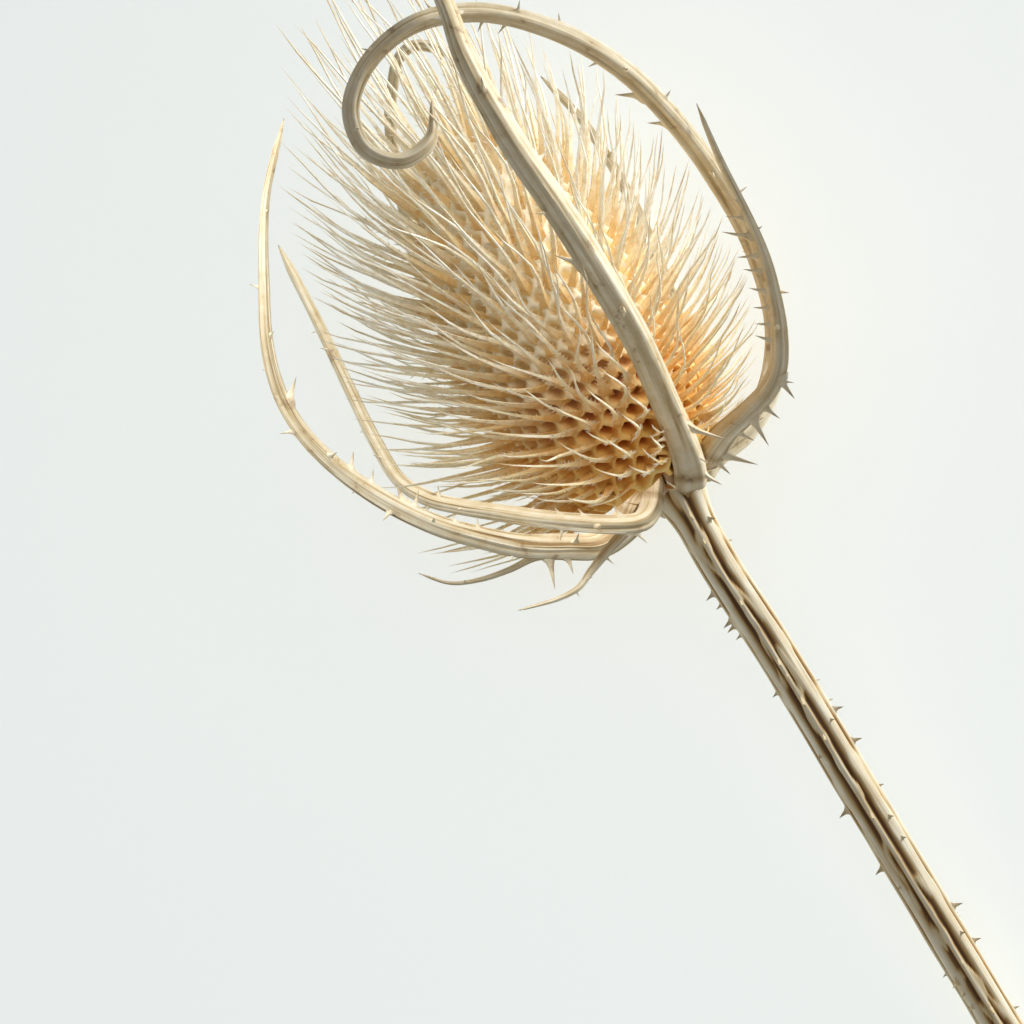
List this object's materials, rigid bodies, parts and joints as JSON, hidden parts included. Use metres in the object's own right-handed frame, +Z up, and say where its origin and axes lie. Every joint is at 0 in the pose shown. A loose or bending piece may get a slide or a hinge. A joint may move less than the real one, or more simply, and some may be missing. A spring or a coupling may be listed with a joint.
{
  "type": "dried teasel seed head",
  "caption": "Dried teasel seed head lying on its cut prickly stem: an egg-shaped head of long straw-coloured spines inside a cage of curved, prickly bracts.",
  "frame": {"origin": "centre of the bounding box, on the surface the plant lies on", "axes": "+Z up from that surface, +X from the cut end of the stem towards the top of the head, +Y towards the left of the head as the picture shows it"},
  "size_m": [0.1815, 0.0714, 0.0606],
  "materials": {
    "stem": "dry ribbed stalk, cream ribs and brown grooves",
    "bracts": "dry, pale straw, lightly fluted, matt",
    "seed_head": "dry, straw-coloured spines, orange-brown between their roots"
  },
  "bodies": {
    "root": {"stem": "stem", "bract_front": "bracts", "bract_right": "bracts", "bract_curled": "bracts", "bract_low_left": "bracts", "bract_wide_left": "bracts", "bract_thin_back": "bracts", "bract_thin_front": "bracts", "bract_back_right": "bracts", "bract_back_left": "bracts", "seed_head": "seed_head"}
  },
  "joints": []
}
